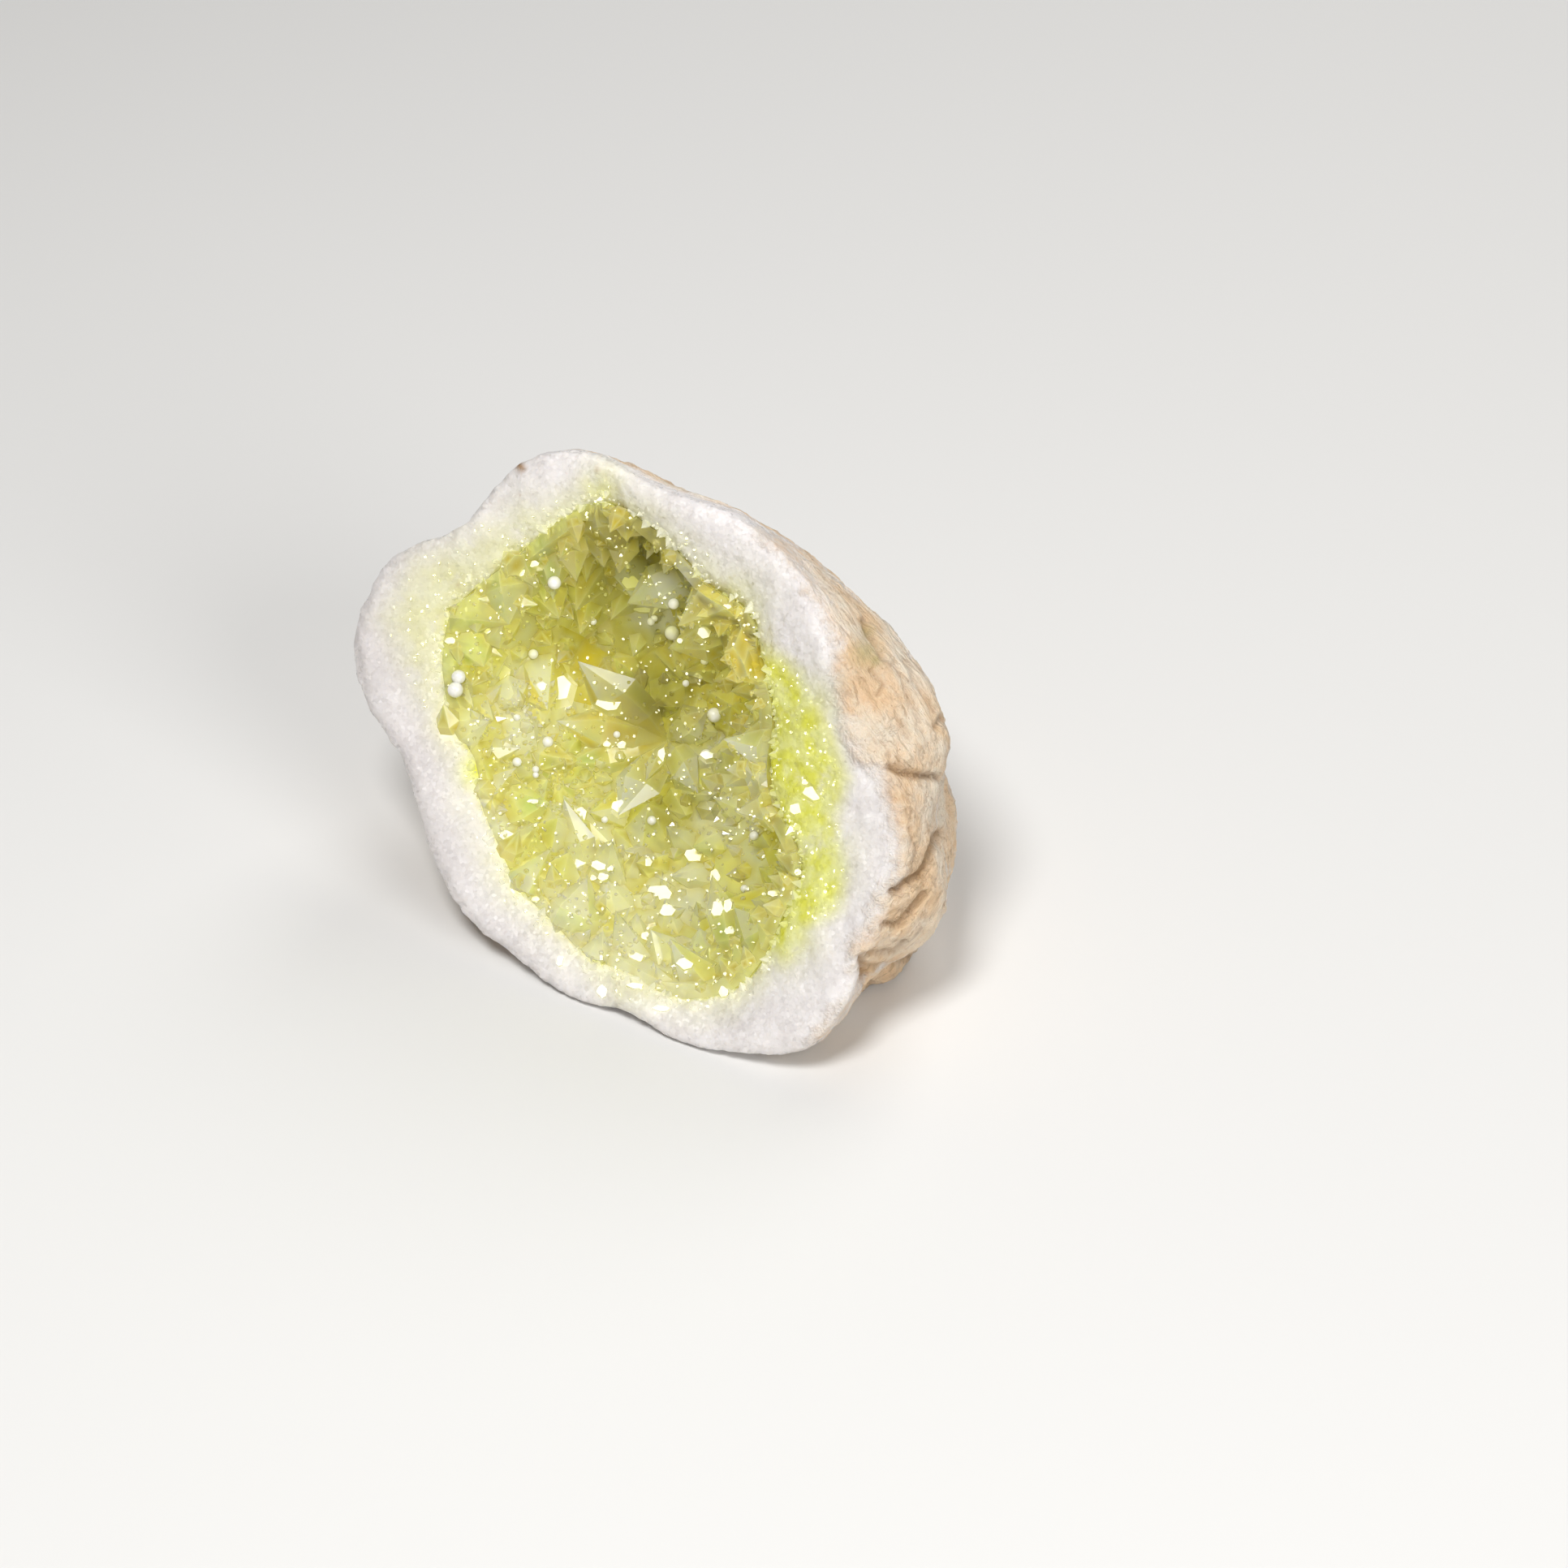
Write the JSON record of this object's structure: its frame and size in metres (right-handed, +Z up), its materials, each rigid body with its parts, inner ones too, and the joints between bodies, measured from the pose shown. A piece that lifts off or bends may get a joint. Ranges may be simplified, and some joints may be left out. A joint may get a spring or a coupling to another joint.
{
  "type": "crystal-lined geode half",
  "caption": "Broken hollow stone nodule with a tan rind, a thick white quartz wall and a hollow lined with clear yellow-green crystals, to stand on a shelf.",
  "frame": {"origin": "middle of the bounding box, at the flat underside that it rests on", "axes": "+Z up; the mouth of the hollow looks along -Y, turned towards -X and tipped up"},
  "size_m": [0.0768, 0.0672, 0.0603],
  "materials": {
    "quartz_stone": "rough",
    "clear_crystal": "glossy"
  },
  "bodies": {
    "root": {"stone_shell": "quartz_stone", "crystal_crust": "clear_crystal"}
  },
  "joints": []
}
